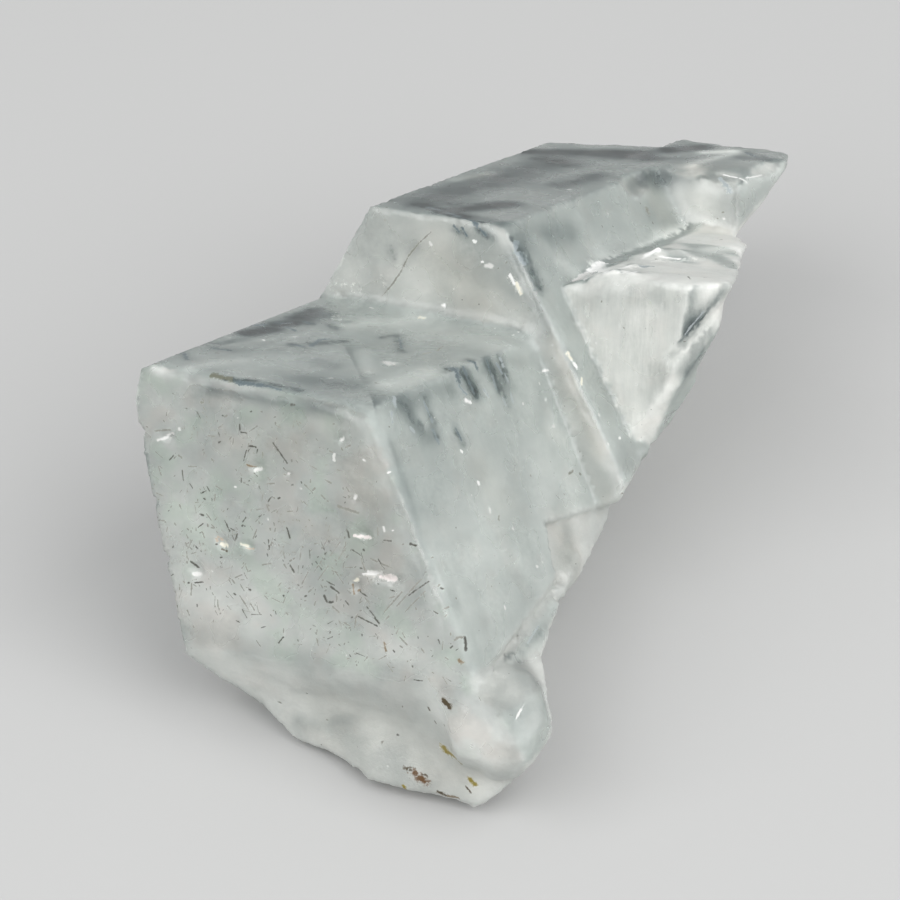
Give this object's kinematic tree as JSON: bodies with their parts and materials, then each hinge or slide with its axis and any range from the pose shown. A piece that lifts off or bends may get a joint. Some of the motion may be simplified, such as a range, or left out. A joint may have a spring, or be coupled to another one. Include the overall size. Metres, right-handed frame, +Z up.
{
  "type": "aquamarine crystal cluster",
  "caption": "Clear pale aquamarine: blocky parallel hexagonal crystals grown together in steps, with flat terminals, broken off underneath and down one side.",
  "frame": {"origin": "centre of the bounding box, at the surface that the cluster lies on", "axes": "+Z up; the crystals run back toward +Y and to the right, toward +X, and their flat terminals face the front, left and slightly up"},
  "size_m": [0.04, 0.0544, 0.0223],
  "materials": {
    "aquamarine": "milky clear, glossy growth faces, finely rough breaks"
  },
  "bodies": {
    "root": {"aquamarine_crystal": "aquamarine"}
  },
  "joints": []
}
